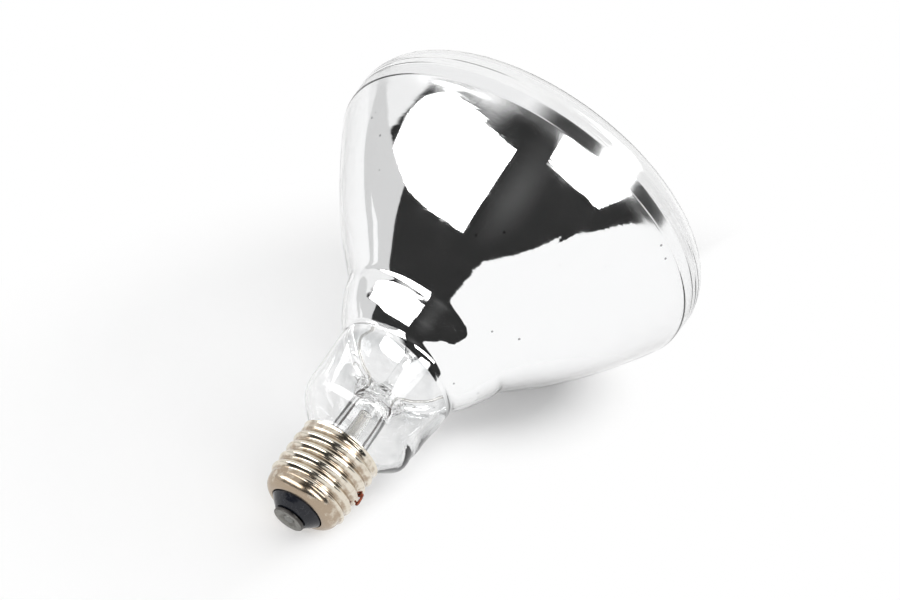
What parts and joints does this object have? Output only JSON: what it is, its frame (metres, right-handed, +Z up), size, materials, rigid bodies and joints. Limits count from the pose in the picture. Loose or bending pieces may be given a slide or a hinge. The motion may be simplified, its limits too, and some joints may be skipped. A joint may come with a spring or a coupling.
{
  "type": "reflector lamp bulb",
  "caption": "Reflector lamp bulb: mirrored parabolic bowl, clear domed face, clear neck with glass stem, and a nickel-plated E27 screw cap. It lies on its side.",
  "frame": {"origin": "centre of the footprint box on the floor, below the lamp as it lies", "axes": "+Z up from the floor; +X along the lamp's level heading, from the screw cap towards the domed face; the lamp's own axis climbs about 24 degrees from +X in the XZ plane"},
  "size_m": [0.1494, 0.1246, 0.1169],
  "materials": {
    "clear_glass": "clear polished blown glass",
    "stem_glass": "clear drawn glass with fine bubbles at the press",
    "mirror_film": "vacuum-deposited aluminium mirror",
    "nickel_plate": "bright nickel plate over brass, warm, tarnished brown in the grooves",
    "black_glass": "black pressed glass",
    "contact_metal": "tinned brass, dull grey",
    "solder": "dull grey solder",
    "cement": "matte fired basing cement",
    "copper_wire": "oxidised copper wire",
    "nickel_wire": "satin nickel wire",
    "tungsten": "dull grey drawn tungsten"
  },
  "bodies": {
    "root": {"glass_bulb": "clear_glass", "mirror_coating": "mirror_film", "screw_shell": "nickel_plate", "insulator": "black_glass", "centre_contact": "contact_metal", "contact_solder": "solder", "basing_cement": "cement", "stem_flare": "stem_glass", "exhaust_tube": "stem_glass", "arbor_rod": "stem_glass", "outer_lead_centre": "copper_wire", "outer_lead_side": "copper_wire", "seal_wire_1": "copper_wire", "seal_wire_2": "copper_wire", "inner_lead_1": "nickel_wire", "inner_lead_2": "nickel_wire", "filament": "tungsten", "filament_support_1": "nickel_wire", "filament_support_2": "nickel_wire", "filament_support_3": "nickel_wire", "filament_support_4": "nickel_wire", "filament_support_5": "nickel_wire"}
  },
  "joints": []
}
